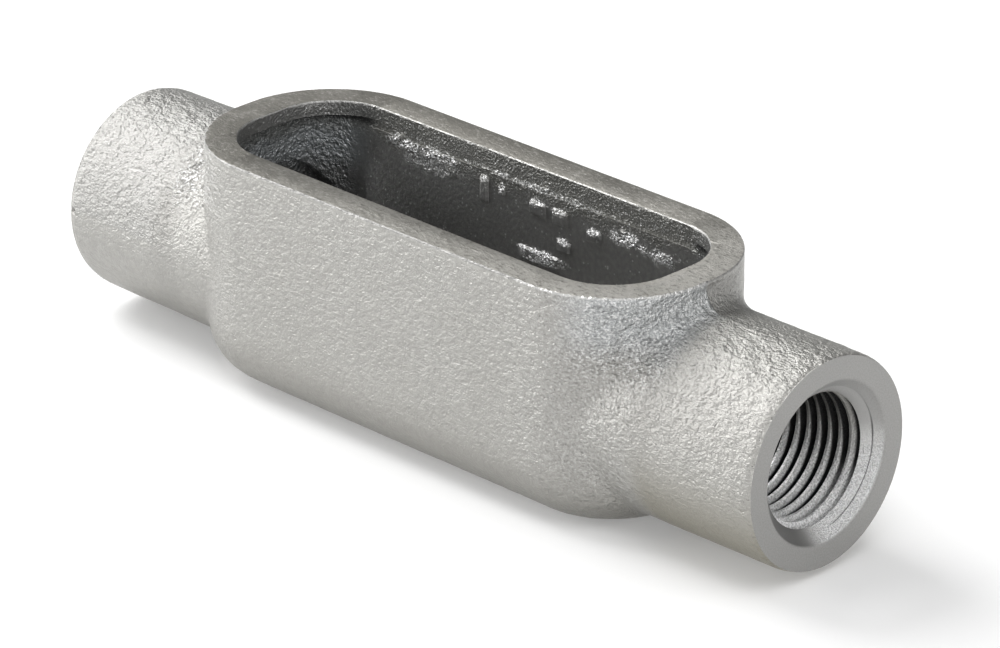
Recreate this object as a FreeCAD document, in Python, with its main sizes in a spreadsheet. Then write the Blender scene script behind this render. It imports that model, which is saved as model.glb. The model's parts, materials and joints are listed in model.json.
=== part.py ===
import FreeCAD, Part
import math
import os
import Sketcher

# Straight-through conduit body in cast iron, without its cover, in millimetres.
# +X runs along the conduit and +Z points up, out of the cover opening.
# The origin lies on the underside of the chamber, below its middle.

DIMENSIONS = (
    # overall casting
    ("body_length", 132.0, "hub face to hub face"),
    ("rim_above_hub", 3.9, "machined cover seat above the top of the hub's root"),
    # chamber
    ("chamber_width", 34.3, "outside width of the chamber"),
    ("chamber_end_flat", 2.3, "flat across each end of the chamber, between its corners"),
    ("foot_round", 8.5, "outer radius along the foot of the chamber"),
    ("rim_edge_round", 0.3, "broken edges of the cover seat"),
    # hubs
    ("hub_length", 21.55, "hub face to the end of the chamber"),
    ("hub_inset", 1.85, "how far the hub's root lies inside the chamber's sides"),
    ("hub_above_foot", 0.8, "how far the hub's root lies above the chamber's underside"),
    ("hub_draft", 0.1, "how much smaller the hub's radius is at its face than at its root"),
    ("hub_end_round", 2.5, "radius of the cast edge at the end of the hub"),
    ("hub_end_drop", 0.35, "how far that edge has turned in where the face cuts it"),
    ("hub_blend", 3.0, "fillet between hub and chamber"),
    # cover opening and the cored cavity below it
    ("rim_end_width", 5.4, "width of the cover seat at each end"),
    ("rim_side_width", 5.05, "width of the cover seat along each side"),
    ("opening_corner", 9.6, "plan radius of the opening's corners"),
    ("band_depth", 3.3, "depth of the opening's wall along its sides"),
    ("lip_depth", 2.2, "thickness of the lip that catches the cover's clamps"),
    ("lip_reach", 1.8, "how far the lip overhangs the cavity at each end"),
    ("side_ledge", 0.3, "ledge below the opening along each side"),
    ("cavity_corner", 9.0, "plan radius of the cavity's corners"),
    ("floor_wall", 4.0, "wall under the cavity"),
    ("cavity_foot_round", 8.0, "inner radius along the foot of the cavity"),
    # bores
    ("bore_diameter", 18.3, "tapping bore of the 1/2-14 taper pipe thread"),
    ("bore_depth", 18.3, "hub face to the shoulder of the bushing"),
    ("mouth_diameter", 23.2, "countersunk mouth at the hub face"),
    ("mouth_depth", 2.5, "depth of the countersink"),
    ("mouth_edge_round", 0.8, "soft edge between the mouth and the hub face"),
    ("throat_diameter", 15.6, "smooth throat of the bushing cast in each hub"),
    ("bushing_round", 0.8, "rounded outer end of the bushing"),
    ("flare_side_gap", 0.2, "mouth of the bushing's inner flare to the cavity's sides"),
)

# How near a point must lie to a level or a skin to count as on it
NEAR = 0.01
EDGE_SAMPLES = 5

document = FreeCAD.newDocument("conduit_body")


def make_sheet():
    """Put the driving dimensions in a sheet whose cells have names."""
    cells = document.addObject("Spreadsheet::Sheet", "dimensions")
    for row, (name, value, meaning) in enumerate(DIMENSIONS, start=1):
        cells.set("A%d" % row, name)
        cells.set("B%d" % row, str(value))
        cells.set("C%d" % row, meaning)
        cells.setAlias("B%d" % row, name)
    document.recompute()
    return cells


sheet = make_sheet()
body = document.addObject("PartDesign::Body", "conduit_body")
body.Label = "conduit_body"
body.Placement = FreeCAD.Placement()


# Formulas over the sheet's cells

def cell(name):
    return "dimensions.%s" % name


def half(name):
    return "dimensions.%s / 2" % name


HUB_FACE = half("body_length")
CHAMBER_LENGTH = "dimensions.body_length - 2 * dimensions.hub_length"
CHAMBER_END = "(%s) / 2" % CHAMBER_LENGTH
CHAMBER_CORNER = "(dimensions.chamber_width - dimensions.chamber_end_flat) / 2"
INSIDE_CHAMBER = "%s - %s" % (CHAMBER_END, CHAMBER_CORNER)
HUB_ROOT_RADIUS = "%s - dimensions.hub_inset" % half("chamber_width")
HUB_END_RADIUS = "%s - dimensions.hub_draft" % HUB_ROOT_RADIUS
HUB_FACE_RADIUS = "%s - dimensions.hub_end_drop" % HUB_END_RADIUS
AXIS_HEIGHT = "%s + dimensions.hub_above_foot" % HUB_ROOT_RADIUS
TOP = "%s + %s + dimensions.rim_above_hub" % (AXIS_HEIGHT, HUB_ROOT_RADIUS)
OPENING_LENGTH = "%s - 2 * dimensions.rim_end_width" % CHAMBER_LENGTH
OPENING_WIDTH = "dimensions.chamber_width - 2 * dimensions.rim_side_width"
CAVITY_LENGTH = "%s + 2 * dimensions.lip_reach" % OPENING_LENGTH
CAVITY_WIDTH = "%s - 2 * dimensions.side_ledge" % OPENING_WIDTH
CAVITY_END = "(%s) / 2" % CAVITY_LENGTH
INSIDE_CAVITY = "%s - dimensions.cavity_corner" % CAVITY_END
BUSHING_SHOULDER = "%s - dimensions.bore_depth" % HUB_FACE
FLARE_MOUTH_RADIUS = "(%s) / 2 - dimensions.flare_side_gap" % CAVITY_WIDTH
FLARE_RADIUS = "%s - %s" % (FLARE_MOUTH_RADIUS, half("throat_diameter"))


def size(formula):
    """Work out a formula as a plain number."""
    return float(sheet.evalExpression(formula))


# Sketch helpers

def origin_plane(role):
    """Find one of the body's own origin planes."""
    for feature in body.Origin.OriginFeatures:
        if feature.Role == role:
            return feature
    raise ValueError("no plane " + role)


def level_sketch(name, height):
    """Start a sketch on a level plane at a height above the underside."""
    sketch = body.newObject("Sketcher::SketchObject", name)
    sketch.AttachmentSupport = (origin_plane("XY_Plane"), [""])
    sketch.MapMode = "FlatFace"
    sketch.setExpression("AttachmentOffset.Base.z", height)
    return sketch


def axis_sketch(name):
    """Start a sketch on the middle plane, with its x axis on the conduit axis."""
    sketch = body.newObject("Sketcher::SketchObject", name)
    sketch.AttachmentSupport = (origin_plane("XZ_Plane"), [""])
    sketch.MapMode = "FlatFace"
    sketch.setExpression("AttachmentOffset.Base.y", AXIS_HEIGHT)
    return sketch


def add_line(sketch, start, end):
    start_point = FreeCAD.Vector(start[0], start[1], 0)
    end_point = FreeCAD.Vector(end[0], end[1], 0)
    return sketch.addGeometry(Part.LineSegment(start_point, end_point))


def add_quarter(sketch, centre, radius, first_quarter):
    """Add a quarter circle that starts at first_quarter right angles from +x."""
    middle = FreeCAD.Vector(centre[0], centre[1], 0)
    circle = Part.Circle(middle, FreeCAD.Vector(0, 0, 1), radius)
    start = first_quarter * math.pi / 2
    return sketch.addGeometry(Part.ArcOfCircle(circle, start, start + math.pi / 2))


def tie(sketch, kind, *where):
    sketch.addConstraint(Sketcher.Constraint(kind, *where))


def drive(sketch, name, formula, kind, *where):
    """Add a dimension and bind it to a formula over the sheet."""
    number = sketch.addConstraint(Sketcher.Constraint(kind, *where, size(formula)))
    sketch.renameConstraint(number, name)
    sketch.setExpression("Constraints." + name, formula)


# Where a point lies on its line or arc, and the sketch's own origin and x axis
START = 1
END = 2
CENTRE = 3
ORIGIN = (-1, 1)
X_AXIS = -1


def draw_rounded_rectangle(sketch, length, width, corner):
    """Draw a centred rectangle with round corners from three formulas."""
    x = size(length) / 2
    y = size(width) / 2
    radius = size(corner)
    x_flat = x - radius
    y_flat = y - radius
    sides = (
        ((-x_flat, -y), (x_flat, -y), (x_flat, -y_flat)),
        ((x, -y_flat), (x, y_flat), (x_flat, y_flat)),
        ((x_flat, y), (-x_flat, y), (-x_flat, y_flat)),
        ((-x, y_flat), (-x, -y_flat), (-x_flat, -y_flat)),
    )
    lines = []
    arcs = []
    for quarter, (start, end, centre) in enumerate(sides):
        lines.append(add_line(sketch, start, end))
        arcs.append(add_quarter(sketch, centre, radius, quarter - 1))
    for quarter, arc in enumerate(arcs):
        tie(sketch, "Tangent", lines[quarter], END, arc, START)
        tie(sketch, "Tangent", arc, END, lines[(quarter + 1) % 4], START)
    for arc in arcs[1:]:
        tie(sketch, "Equal", arcs[0], arc)
    near, right, far, left = lines
    tie(sketch, "Horizontal", near)
    tie(sketch, "Horizontal", far)
    tie(sketch, "Vertical", right)
    tie(sketch, "Vertical", left)
    tie(sketch, "Symmetric", near, START, far, START, *ORIGIN)
    drive(sketch, "length", length, "DistanceX", left, START, right, START)
    drive(sketch, "width", width, "DistanceY", near, START, far, START)
    drive(sketch, "corner", corner, "Radius", arcs[0])


def hub_radius_at(x):
    """Radius of the tapered hub skin at a distance from the body's middle."""
    face = size(HUB_FACE)
    root = size(CHAMBER_END)
    end_radius = size(HUB_END_RADIUS)
    root_radius = size(HUB_ROOT_RADIUS)
    return end_radius + (root_radius - end_radius) * (face - x) / (face - root)


def draw_hub_profile(sketch):
    """Draw half the section of one hub, carried on into the chamber."""
    inner = size(INSIDE_CHAMBER)
    face = size(HUB_FACE)
    root = size(CHAMBER_END)
    rounding = size(cell("hub_end_round"))
    face_radius = size(HUB_FACE_RADIUS)
    end_radius = hub_radius_at(face)
    edge_angle = math.acos(1 - size(cell("hub_end_drop")) / rounding)
    edge_start = face - rounding * math.sin(edge_angle)
    edge_radius = hub_radius_at(edge_start)

    axis = add_line(sketch, (inner, 0), (face, 0))
    front = add_line(sketch, (face, 0), (face, face_radius))
    edge_circle = Part.Circle(
        FreeCAD.Vector(edge_start, edge_radius - rounding, 0), FreeCAD.Vector(0, 0, 1), rounding)
    edge = sketch.addGeometry(
        Part.ArcOfCircle(edge_circle, math.pi / 2 - edge_angle, math.pi / 2))
    cone = add_line(sketch, (edge_start, edge_radius), (inner, hub_radius_at(inner)))
    back = add_line(sketch, (inner, hub_radius_at(inner)), (inner, 0))
    root_point = sketch.addGeometry(
        Part.Point(FreeCAD.Vector(root, hub_radius_at(root), 0)), True)
    end_point = sketch.addGeometry(Part.Point(FreeCAD.Vector(face, end_radius, 0)), True)

    tie(sketch, "Coincident", axis, END, front, START)
    tie(sketch, "Coincident", front, END, edge, START)
    tie(sketch, "Tangent", edge, END, cone, START)
    tie(sketch, "Coincident", cone, END, back, START)
    tie(sketch, "Coincident", back, END, axis, START)
    tie(sketch, "PointOnObject", axis, START, X_AXIS)
    tie(sketch, "Horizontal", axis)
    tie(sketch, "Vertical", front)
    tie(sketch, "Vertical", back)
    tie(sketch, "PointOnObject", root_point, START, cone)
    tie(sketch, "PointOnObject", end_point, START, cone)

    drive(sketch, "inner_end", INSIDE_CHAMBER, "DistanceX", *ORIGIN, axis, START)
    drive(sketch, "face", HUB_FACE, "DistanceX", *ORIGIN, axis, END)
    drive(sketch, "face_radius", HUB_FACE_RADIUS, "DistanceY", front)
    drive(sketch, "edge_round", cell("hub_end_round"), "Radius", edge)
    drive(sketch, "root", CHAMBER_END, "DistanceX", *ORIGIN, root_point, START)
    drive(sketch, "root_radius", HUB_ROOT_RADIUS, "DistanceY", *ORIGIN, root_point, START)
    drive(sketch, "end", HUB_FACE, "DistanceX", *ORIGIN, end_point, START)
    drive(sketch, "end_radius", HUB_END_RADIUS, "DistanceY", *ORIGIN, end_point, START)


def draw_bore_profile(sketch):
    """Draw half the section of what is cut from one hub, mouth to cavity."""
    inner = size(INSIDE_CAVITY)
    wall = size(CAVITY_END)
    shoulder = size(BUSHING_SHOULDER)
    face = size(HUB_FACE)
    mouth_radius = size(half("mouth_diameter"))
    bore_radius = size(half("bore_diameter"))
    throat_radius = size(half("throat_diameter"))
    flare = size(FLARE_RADIUS)
    rounding = size(cell("bushing_round"))
    mouth_foot = face - size(cell("mouth_depth"))
    flare_top = throat_radius + flare

    axis = add_line(sketch, (inner, 0), (face, 0))
    front = add_line(sketch, (face, 0), (face, mouth_radius))
    mouth = add_line(sketch, (face, mouth_radius), (mouth_foot, bore_radius))
    bore = add_line(sketch, (mouth_foot, bore_radius), (shoulder, bore_radius))
    ledge = add_line(sketch, (shoulder, bore_radius), (shoulder, throat_radius + rounding))
    nose = add_quarter(sketch, (shoulder - rounding, throat_radius + rounding), rounding, 3)
    throat = add_line(sketch, (shoulder - rounding, throat_radius), (wall + flare, throat_radius))
    bell = add_quarter(sketch, (wall + flare, flare_top), flare, 2)
    channel = add_line(sketch, (wall, flare_top), (inner, flare_top))
    back = add_line(sketch, (inner, flare_top), (inner, 0))

    tie(sketch, "Coincident", axis, END, front, START)
    tie(sketch, "Coincident", front, END, mouth, START)
    tie(sketch, "Coincident", mouth, END, bore, START)
    tie(sketch, "Coincident", bore, END, ledge, START)
    tie(sketch, "Tangent", ledge, END, nose, END)
    tie(sketch, "Tangent", nose, START, throat, START)
    tie(sketch, "Tangent", throat, END, bell, END)
    tie(sketch, "Coincident", bell, START, channel, START)
    tie(sketch, "Coincident", channel, END, back, START)
    tie(sketch, "Coincident", back, END, axis, START)
    tie(sketch, "PointOnObject", axis, START, X_AXIS)
    for level in (axis, bore, throat, channel):
        tie(sketch, "Horizontal", level)
    for upright in (front, ledge, back):
        tie(sketch, "Vertical", upright)
    tie(sketch, "Horizontal", bell, CENTRE, bell, START)

    drive(sketch, "inner_end", INSIDE_CAVITY, "DistanceX", *ORIGIN, axis, START)
    drive(sketch, "face", HUB_FACE, "DistanceX", *ORIGIN, axis, END)
    drive(sketch, "mouth_radius", half("mouth_diameter"), "DistanceY", front)
    drive(sketch, "mouth_depth", cell("mouth_depth"), "DistanceX", mouth, END, mouth, START)
    drive(sketch, "bore_radius", half("bore_diameter"), "DistanceY", *ORIGIN, bore, END)
    drive(sketch, "shoulder", BUSHING_SHOULDER, "DistanceX", *ORIGIN, bore, END)
    drive(sketch, "throat_radius", half("throat_diameter"), "DistanceY", *ORIGIN, throat, END)
    drive(sketch, "rounding", cell("bushing_round"), "Radius", nose)
    drive(sketch, "flare", FLARE_RADIUS, "Radius", bell)
    drive(sketch, "cavity_end", CAVITY_END, "DistanceX", *ORIGIN, channel, START)


# Feature helpers

def turn(kind, name, profile):
    """Turn a profile once round the conduit axis."""
    feature = body.newObject(kind, name)
    feature.Profile = profile
    feature.ReferenceAxis = (profile, ["H_Axis"])
    feature.Angle = 360
    profile.Visibility = False
    return feature


def mirror_end(name, feature):
    """Repeat a feature at the other end of the body."""
    mirrored = body.newObject("PartDesign::Mirrored", name)
    mirrored.Originals = [feature]
    mirrored.MirrorPlane = (origin_plane("YZ_Plane"), [""])
    body.Tip = mirrored
    return mirrored


def round_edges(name, radius, chosen):
    """Fillet every edge of the body so far that passes the test chosen."""
    document.recompute()
    base = body.Tip
    names = []
    for number, edge in enumerate(base.Shape.Edges, start=1):
        if chosen(edge):
            names.append("Edge%d" % number)
    if not names:
        raise ValueError("no edge to round for " + name)
    fillet = body.newObject("PartDesign::Fillet", name)
    fillet.Base = (base, names)
    fillet.setExpression("Radius", cell(radius))
    return fillet


def at_height(edge, height):
    """Tell whether an edge lies level at a height."""
    box = edge.BoundBox
    return abs(box.ZMin - height) < NEAR and abs(box.ZMax - height) < NEAR


def on_hub_face(edge, diameter):
    """Tell whether an edge is a circle of a diameter on either hub face."""
    if not isinstance(edge.Curve, Part.Circle):
        return False
    same_size = abs(edge.Curve.Radius - diameter / 2) < NEAR
    return same_size and abs(abs(edge.Curve.Center.x) - size(HUB_FACE)) < NEAR


# The casting

def add_chamber():
    """A rounded box whose foot is rolled under along its sides and ends."""
    outline = level_sketch("chamber_outline", "0")
    draw_rounded_rectangle(outline, CHAMBER_LENGTH, cell("chamber_width"), CHAMBER_CORNER)
    chamber = body.newObject("PartDesign::Pad", "chamber")
    chamber.Profile = outline
    chamber.setExpression("Length", TOP)
    round_edges("chamber_foot", "foot_round", lambda edge: at_height(edge, 0))


def meets_hub(edge):
    """Tell whether an edge is where the skin of a hub enters the chamber."""
    if isinstance(edge.Curve, Part.Line):
        return False
    axis_height = size(AXIS_HEIGHT)
    root = size(CHAMBER_END)
    for point in edge.discretize(Number=EDGE_SAMPLES):
        x = abs(point.x)
        off_axis = math.hypot(point.y, point.z - axis_height)
        if x > root + NEAR or abs(off_axis - hub_radius_at(x)) > NEAR:
            return False
    return True


def add_hubs():
    """Two slightly tapered hubs on the conduit axis, blended into the chamber."""
    profile = axis_sketch("hub_profile")
    draw_hub_profile(profile)
    hub = turn("PartDesign::Revolution", "hub", profile)
    mirror_end("hubs", hub)
    round_edges("hub_blends", "hub_blend", meets_hub)


def cut_opening():
    """The straight wall of the cover opening, down from the seat."""
    outline = level_sketch("opening_outline", TOP)
    draw_rounded_rectangle(outline, OPENING_LENGTH, OPENING_WIDTH, cell("opening_corner"))
    opening = body.newObject("PartDesign::Pocket", "cover_opening")
    opening.Profile = outline
    opening.setExpression("Length", cell("band_depth"))


def cut_cavity():
    """The cored cavity, which leaves a clamping lip at each end."""
    outline = level_sketch("cavity_outline", "%s - dimensions.lip_depth" % TOP)
    draw_rounded_rectangle(outline, CAVITY_LENGTH, CAVITY_WIDTH, cell("cavity_corner"))
    cavity = body.newObject("PartDesign::Pocket", "cavity")
    cavity.Profile = outline
    cavity.setExpression("Length", "%s - dimensions.lip_depth - dimensions.floor_wall" % TOP)
    round_edges("cavity_foot", "cavity_foot_round",
                lambda edge: at_height(edge, size(cell("floor_wall"))))


def cut_bores():
    """The countersunk mouth, tapping bore, bushing and flare of each hub."""
    profile = axis_sketch("bore_profile")
    draw_bore_profile(profile)
    bore = turn("PartDesign::Groove", "bore", profile)
    mirror_end("bores", bore)


def break_edges():
    """The small roundings left by machining and cleaning."""
    round_edges("cover_seat_edges", "rim_edge_round", lambda edge: at_height(edge, size(TOP)))
    round_edges("mouth_edges", "mouth_edge_round",
                lambda edge: on_hub_face(edge, size(cell("mouth_diameter"))))


def check_document():
    """Stop if any feature failed or the body is not one sound solid."""
    for item in document.Objects:
        if "Invalid" in item.State or "Error" in item.State:
            raise ValueError("%s failed: %s" % (item.Name, item.State))
        if item.isDerivedFrom("Sketcher::SketchObject") and not item.FullyConstrained:
            raise ValueError("%s is not fully constrained" % item.Name)
    shape = body.Shape
    if shape.isNull() or not shape.isValid() or len(shape.Solids) != 1:
        raise ValueError("the body is not one sound solid")


add_chamber()
add_hubs()
cut_opening()
cut_cavity()
cut_bores()
break_edges()
document.recompute()
check_document()

os.makedirs("parts", exist_ok=True)
body.Shape.exportStep("parts/%s.step" % body.Label)
print("volume %.1f cm3" % (body.Shape.Volume / 1000.0))
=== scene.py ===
import json
import math
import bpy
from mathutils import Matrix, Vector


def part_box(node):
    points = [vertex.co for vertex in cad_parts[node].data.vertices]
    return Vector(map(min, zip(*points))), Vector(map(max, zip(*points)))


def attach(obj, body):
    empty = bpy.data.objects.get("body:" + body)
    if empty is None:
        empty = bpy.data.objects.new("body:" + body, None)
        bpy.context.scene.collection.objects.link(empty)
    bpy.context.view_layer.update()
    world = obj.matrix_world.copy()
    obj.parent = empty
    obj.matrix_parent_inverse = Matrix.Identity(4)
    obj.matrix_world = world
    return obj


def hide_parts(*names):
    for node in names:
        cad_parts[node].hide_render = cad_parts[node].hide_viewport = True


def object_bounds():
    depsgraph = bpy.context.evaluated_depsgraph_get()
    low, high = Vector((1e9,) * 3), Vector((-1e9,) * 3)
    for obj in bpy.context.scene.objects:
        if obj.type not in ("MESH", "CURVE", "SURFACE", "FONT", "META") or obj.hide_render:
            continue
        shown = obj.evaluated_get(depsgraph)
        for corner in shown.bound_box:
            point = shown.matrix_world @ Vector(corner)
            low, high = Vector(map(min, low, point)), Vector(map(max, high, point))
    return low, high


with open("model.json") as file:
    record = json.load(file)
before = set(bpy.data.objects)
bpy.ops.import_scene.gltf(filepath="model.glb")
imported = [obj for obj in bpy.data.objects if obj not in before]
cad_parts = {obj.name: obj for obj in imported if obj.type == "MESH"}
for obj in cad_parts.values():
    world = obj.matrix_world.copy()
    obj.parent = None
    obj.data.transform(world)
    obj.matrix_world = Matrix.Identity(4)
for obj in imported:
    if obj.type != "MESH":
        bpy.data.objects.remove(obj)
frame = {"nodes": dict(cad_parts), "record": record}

from types import SimpleNamespace

import bmesh
import bpy
import numpy as np
from mathutils import Matrix, Vector

# Straight-through conduit body: one iron casting, coated light grey, with a machined cover
# seat and machined, threaded hubs. The sizes below are in millimetres.

for spare in ("Cube", "Light", "Camera"):
    if spare in bpy.data.objects:
        bpy.data.objects.remove(bpy.data.objects[spare])

MM = 0.001
NODE = "conduit_body"
cad_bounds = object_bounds()
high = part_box(NODE)[1]
mounts = {mount["name"]: mount for mount in frame["record"]["mounts"]}

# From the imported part: height of the conduit axis, radius of the tapping bore, distance of
# a hub face from the middle, height of the cover seat, half the width
AXIS = mounts["hub_right"]["pos_m"][2] / MM
BORE = mounts["hub_right"]["dims"]["r_mm"]
FACE = high.x / MM
TOP = high.z / MM
HALF_WIDTH = high.y / MM

# Taper pipe thread of 14 turns to the inch: growth of the radius per length, radius of the
# crests at the hub face, depth, the profile of a turn as shares of pitch and depth, and how
# far the screw that cuts it runs on past the two ends of the bore
PITCH = 25.4 / 14
TAPER = 1 / 32
CREST_AT_FACE = 9.16
THREAD_DEPTH = 1.3
THREAD_PROFILE = (
    (0.0, 0.0), (0.11, 0.0), (0.40, 0.86), (0.46, 1.0),
    (0.54, 1.0), (0.60, 0.86), (0.89, 0.0),
)
RUN_IN = 2.0
RUN_OUT = 1.5

# Inside a hub: depth of the bushing's shoulder, the countersunk mouth, the throat with its
# rounded nose, and the flare from the throat into the cavity. The stem of the cutter stays
# inside the crests, the sleeve trims the screw, and the plug fills the bore for the remesh.
SHOULDER = 18.3
MOUTH = 11.6
MOUTH_DEPTH = 2.5
MOUTH_ROUND = 0.8
THROAT = 7.8
NOSE = 0.8
FLARE = 3.8
INSIDE_CRESTS = 0.15
SLEEVE = 14.0
PLUG = 12.6

# Plan of the chamber's outside and of the cavity: half length, half width, corner radius
CHAMBER = (44.45, 17.15, 16.0)
CAVITY = (40.85, 11.8, 9.0)
CAVITY_END = CAVITY[0]
FLOOR = 4.0
LIP = TOP - 2.2

# The mould parted here, and its upper half gave the hubs a rougher skin
PARTING = AXIS + 1.0

# Noise in the skin, as seed and size: its swell, its coarse grain and its fine grain
SKIN_NOISE = ((1, 9.0), (2, 2.2), (3, 1.25))
EDGE_NOISE = (4, 1.3)
LUMP_NOISE = (6, 1.5)

# The ragged bevel along the outer edge of the seat: its width, how much that varies, its
# limit, and how far from the edge corners are moved
BEVEL = 0.27
BEVEL_RAGGED = 0.12
BEVEL_LIMIT = 0.4
BEVEL_REACH = 1.0

# On the walls of the cavity: rough patches left by the core, as centre, radii and strength,
# and plain raised marks, as centre and half sizes
ROUGH_PATCHES = (
    ((-24.8, 11.8, 31.4), (4.0, 3.0, 1.0), 1.0),
    ((-17.2, 11.8, 31.3), (4.5, 3.0, 0.9), 0.9),
    ((-19.0, 11.8, 30.0), (6.5, 3.0, 1.7), 0.4),
    ((18.5, 11.8, 29.9), (3.2, 3.0, 1.2), 0.9),
    ((24.3, 11.8, 29.0), (4.2, 3.0, 1.2), 0.8),
    ((3.0, 11.8, 22.2), (4.5, 3.0, 1.1), 0.7),
    ((1.0, 11.8, 32.2), (15.0, 3.0, 0.4), 0.6),
)
RAISED_MARKS = (
    ((-8.6, 11.8, 29.2), (0.7, 2.0, 1.9)),
    ((-5.2, 11.8, 29.9), (0.5, 2.0, 0.5)),
    ((1.8, 11.8, 29.3), (1.5, 2.0, 1.0)),
    ((6.1, 11.8, 29.2), (1.4, 2.0, 1.0)),
    ((6.8, 11.8, 25.2), (1.2, 2.0, 0.8)),
    ((12.5, 11.8, 28.3), (1.2, 2.0, 0.8)),
    ((2.2, 11.8, 22.0), (3.9, 2.0, 0.9)),
)
MARK_HEIGHT = 0.5

# A patch is whole within the first share of its radii and gone beyond the second
PATCH_CORE = 0.55
PATCH_RIM = 1.05

# How finely the casting and the thread are meshed, what counts as a sliver or as one corner,
# the angle in degrees from which an edge is sharp, and how close to the plane of the seat or
# of a hub face a machined face lies
REMESH_DEPTH = 9
REMESH_SCALE = 0.88
CASTING_TRIANGLES = 150000
TURN_STEPS = 96
SLIVER_EDGE = 0.002
SLIVER_FACE = 0.004
WELD = 0.0001
SHARP_ANGLE = 38
ON_PLANE = 0.04


# Noise that is the same on every run

class Noise:
    """Smooth random values over space, from minus one to one."""

    gain = 1.6

    def __init__(self, seed):
        maker = np.random.default_rng(seed)
        self.order = maker.permutation(256)
        steep = maker.normal(size=(256, 3))
        self.slopes = steep / np.linalg.norm(steep, axis=1)[:, None]

    def corner(self, cell, away):
        order = self.order
        pick = order[(order[(order[cell[:, 0] & 255] + cell[:, 1]) & 255] + cell[:, 2]) & 255]
        return np.einsum("ij,ij->i", self.slopes[pick], away)

    def __call__(self, places, size):
        scaled = places / size
        cell = np.floor(scaled).astype(int)
        part = scaled - cell
        ease = part * part * part * (part * (part * 6 - 15) + 10)
        total = np.zeros(len(places))
        for step in np.ndindex(2, 2, 2):
            share = np.ones(len(places))
            for axis in range(3):
                share *= ease[:, axis] if step[axis] else 1 - ease[:, axis]
            total += share * self.corner(cell + step, part - step)
        return total * self.gain


def noise_at(places, kind):
    """Noise given as its seed and size."""
    seed, size = kind
    return Noise(seed)(places, size)


def rise(values, start, end):
    """Go smoothly from 0 at start to 1 at end."""
    t = np.clip((values - start) / (end - start), 0, 1)
    return t * t * (3 - 2 * t)


# Mesh helpers

def linked(name, data):
    """Make an object in the scene."""
    thing = bpy.data.objects.new(name, data)
    bpy.context.scene.collection.objects.link(thing)
    return thing


def make_mesh(name, places, faces):
    """Make an object from places in millimetres."""
    mesh = bpy.data.meshes.new(name)
    mesh.from_pydata([tuple(p * MM for p in place) for place in places], [], faces)
    return linked(name, mesh)


def on_circle(x, radius, step, steps):
    """A place round the conduit axis, at one of the steps of a full turn."""
    angle = 2 * math.pi * step / steps
    return (x, radius * math.cos(angle), AXIS + radius * math.sin(angle))


def turned(name, profile, steps=TURN_STEPS):
    """Turn a profile of (distance along, radius) round the conduit axis into a closed solid."""
    places = [on_circle(x, radius, step, steps) for x, radius in profile for step in range(steps)]
    faces = []
    for row in range(len(profile) - 1):
        for step in range(steps):
            after = (step + 1) % steps
            faces.append((row * steps + step, row * steps + after,
                          (row + 1) * steps + after, (row + 1) * steps + step))
    last = (len(profile) - 1) * steps
    faces.append(tuple(range(steps - 1, -1, -1)))
    faces.append(tuple(range(last, last + steps)))
    return closed(make_mesh(name, places, faces))


def closed(thing):
    """Turn all faces of a closed mesh outward."""
    work = bmesh.new()
    work.from_mesh(thing.data)
    bmesh.ops.recalc_face_normals(work, faces=work.faces)
    work.to_mesh(thing.data)
    work.free()
    return thing


def combine(thing, other, operation):
    """Join, cut or keep the common part of two closed solids, and drop the second."""
    modifier = thing.modifiers.new("combine", "BOOLEAN")
    modifier.operation = operation
    modifier.solver = "MANIFOLD"
    modifier.object = other
    settle(thing)
    bpy.data.objects.remove(other)


def settle(thing):
    """Turn what the modifiers make into the object's own mesh."""
    graph = bpy.context.evaluated_depsgraph_get()
    mesh = bpy.data.meshes.new_from_object(thing.evaluated_get(graph))
    thing.modifiers.clear()
    thing.data = mesh


def arc(centre, radius, start, end, steps):
    """Points of an arc as (distance along, radius), its angles in degrees."""
    out = []
    for step in range(steps + 1):
        angle = math.radians(start + (end - start) * step / steps)
        out.append((centre[0] + radius * math.cos(angle), centre[1] + radius * math.sin(angle)))
    return out


# What is machined out of a hub, drawn at the right end

def thread_core():
    """A tapered screw a little longer than the bore, its grooves cut outward."""
    start = FACE - SHOULDER - RUN_IN
    turns = int((FACE + RUN_OUT - start) / PITCH) + 2
    count = len(THREAD_PROFILE)
    rows = count * turns
    places = []
    for step in range(TURN_STEPS):
        for row in range(rows + 1):
            share, deep = THREAD_PROFILE[row % count]
            x = start + (row // count + share - step / TURN_STEPS) * PITCH
            radius = CREST_AT_FACE - (FACE - x) * TAPER + deep * THREAD_DEPTH
            places.append(on_circle(x, radius, step, TURN_STEPS))
    across = rows + 1
    faces = []
    for step in range(TURN_STEPS):
        here = step * across
        there = (step + 1) % TURN_STEPS * across
        skip = 0 if step + 1 < TURN_STEPS else count
        for row in range(rows - skip):
            faces.append((here + row + skip, there + row, there + row + 1, here + row + skip + 1))
    return places, faces, across, count, rows


def screw(name):
    """Close the threaded core at both ends."""
    places, faces, across, count, rows = thread_core()
    first = [step * across for step in range(TURN_STEPS)]
    first += [(TURN_STEPS - 1) * across + row for row in range(1, count + 1)]
    last = [step * across + rows for step in range(TURN_STEPS - 1, -1, -1)]
    last += [rows - row for row in range(1, count + 1)]
    for loop in (first, last):
        x = sum(places[corner][0] for corner in loop) / len(loop)
        places.append((x, 0.0, AXIS))
        middle = len(places) - 1
        for corner, after in zip(loop, loop[1:] + loop[:1]):
            faces.append((corner, after, middle))
    return closed(make_mesh(name, places, faces))


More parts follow.
